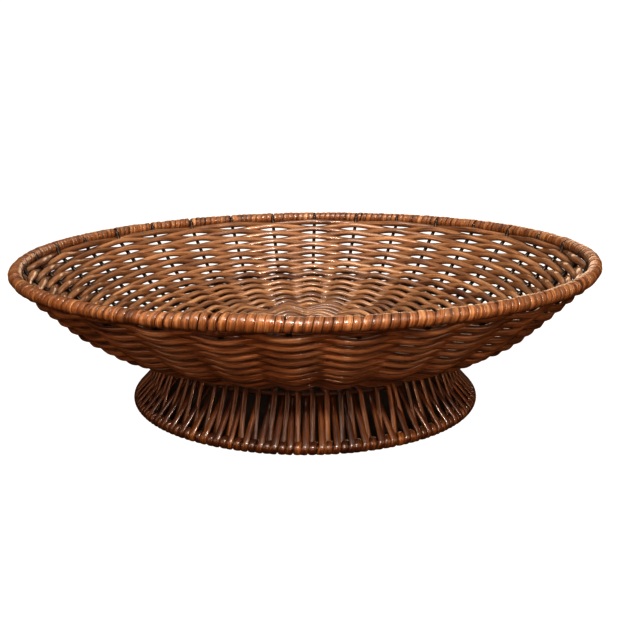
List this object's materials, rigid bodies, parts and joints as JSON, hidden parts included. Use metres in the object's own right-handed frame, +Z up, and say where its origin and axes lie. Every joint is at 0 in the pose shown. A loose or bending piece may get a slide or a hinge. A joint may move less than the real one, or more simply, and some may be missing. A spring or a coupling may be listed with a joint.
{
  "type": "woven wicker basket",
  "caption": "round footed wicker bowl of cane woven in and out of wire stakes, with a wrapped rim and a laced openwork foot",
  "frame": {"origin": "on the table, under the middle of the bowl", "axes": "+Z up along the bowl's axis; +X and +Y level, with -Y towards the front of the picture"},
  "size_m": [0.32, 0.32, 0.0851],
  "materials": {
    "rim_cane": "glossy stained cane, wrapped",
    "wall_cane": "stained and varnished cane, woven",
    "foot_cane": "dark stained and varnished cane",
    "cane_core": "stained round rod",
    "stake_wire": "dark drawn wire"
  },
  "bodies": {
    "root": {"rim_rod": "cane_core", "rim_wrap": "rim_cane", "wall_stakes": "stake_wire", "wall_row_01": "wall_cane", "wall_row_02": "wall_cane", "wall_row_03": "wall_cane", "wall_row_04": "wall_cane", "wall_row_05": "wall_cane", "wall_row_06": "wall_cane", "wall_row_07": "wall_cane", "wall_row_08": "wall_cane", "wall_row_09": "wall_cane", "wall_row_10": "wall_cane", "wall_row_11": "wall_cane", "wall_row_12": "wall_cane", "wall_row_13": "wall_cane", "base_row_01": "wall_cane", "base_row_02": "wall_cane", "base_row_03": "wall_cane", "base_row_04": "wall_cane", "base_row_05": "wall_cane", "base_row_06": "wall_cane", "base_row_07": "wall_cane", "base_row_08": "wall_cane", "base_row_09": "wall_cane", "base_row_10": "wall_cane", "base_sticks_under": "cane_core", "base_sticks_over": "cane_core", "foot_top_rod": "cane_core", "foot_top_wrap": "foot_cane", "foot_lacing_down": "foot_cane", "foot_lacing_up": "foot_cane", "foot_ring_rod": "cane_core", "foot_ring_wrap": "foot_cane"}
  },
  "joints": []
}
